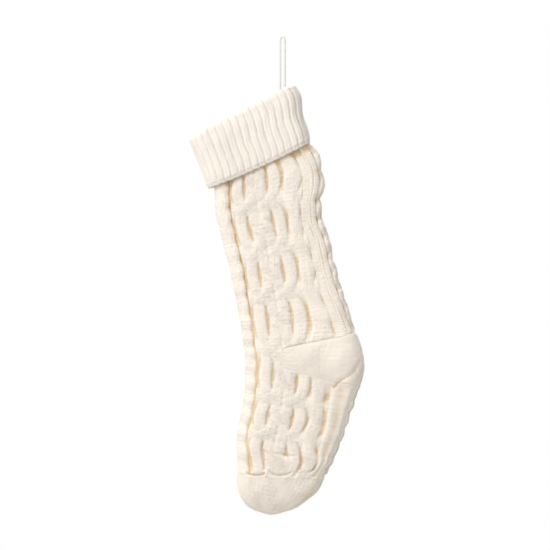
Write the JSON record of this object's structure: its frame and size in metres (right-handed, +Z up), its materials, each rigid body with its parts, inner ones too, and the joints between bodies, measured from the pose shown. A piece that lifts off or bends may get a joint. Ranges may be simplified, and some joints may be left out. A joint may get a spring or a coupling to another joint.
{
  "type": "hanging stocking",
  "caption": "Cable-knit cream hanging stocking with a turned-down ribbed cuff, plain knitted heel and toe, and a thin cord loop to hang it by.",
  "frame": {"origin": "the point where a hook carries the stocking: inside the top of the cord loop", "axes": "+Z up, +X towards the heel side, +Y towards the back panel, so the front panel faces -Y"},
  "size_m": [0.2071, 0.0446, 0.5738],
  "materials": {
    "cable_knit": "chunky cable knit, soft and matt",
    "plain_knit": "plain stocking stitch, soft and matt",
    "rib_knit": "ribbed knit, soft and matt",
    "linking_yarn": "linked seam of the same yarn",
    "cord": "thin twisted cord, matt"
  },
  "bodies": {
    "loop_eye": {"loop_eye": "cord"},
    "loop_shank": {"loop_strand_left": "cord", "loop_strand_right": "cord"},
    "loop_knot": {"loop_knot": "cord"},
    "leg": {"leg_front": "cable_knit", "leg_back": "cable_knit", "leg_seam_instep": "linking_yarn", "leg_seam_heel": "linking_yarn", "cuff_front": "rib_knit", "cuff_back": "rib_knit", "cuff_seam_instep": "rib_knit", "cuff_seam_heel": "rib_knit", "cuff_lining_front": "rib_knit", "cuff_lining_back": "rib_knit", "loop_stitch": "cord"},
    "foot": {"foot_front": "cable_knit", "foot_back": "cable_knit", "foot_seam_instep": "linking_yarn", "foot_seam_sole": "linking_yarn", "heel_front": "plain_knit", "heel_back": "plain_knit", "heel_seam": "linking_yarn", "toe_front": "plain_knit", "toe_back": "plain_knit", "toe_seam": "linking_yarn"}
  },
  "joints": [
    {"name": "loop_twist", "type": "hinge", "parent": "loop_eye", "child": "loop_shank", "pos_m": [0, 0, -0.0122], "axis": [0, 0, 1], "range_deg": [-180, 180]},
    {"name": "loop_pitch", "type": "hinge", "parent": "loop_shank", "child": "loop_knot", "pos_m": [0, 0, -0.067], "axis": [1, 0, 0], "range_deg": [-35, 35]},
    {"name": "stocking_sway", "type": "hinge", "parent": "loop_knot", "child": "leg", "pos_m": [0, 0, -0.067], "axis": [0, 1, 0], "range_deg": [-25, 60]},
    {"name": "ankle_fold", "type": "hinge", "parent": "leg", "child": "foot", "pos_m": [0.02, 0.0205, -0.3403], "axis": [1, 0, 0], "range_deg": [0, 150], "stiffness_Nm_per_rad": 0.02, "springref_deg": -68.75}
  ]
}
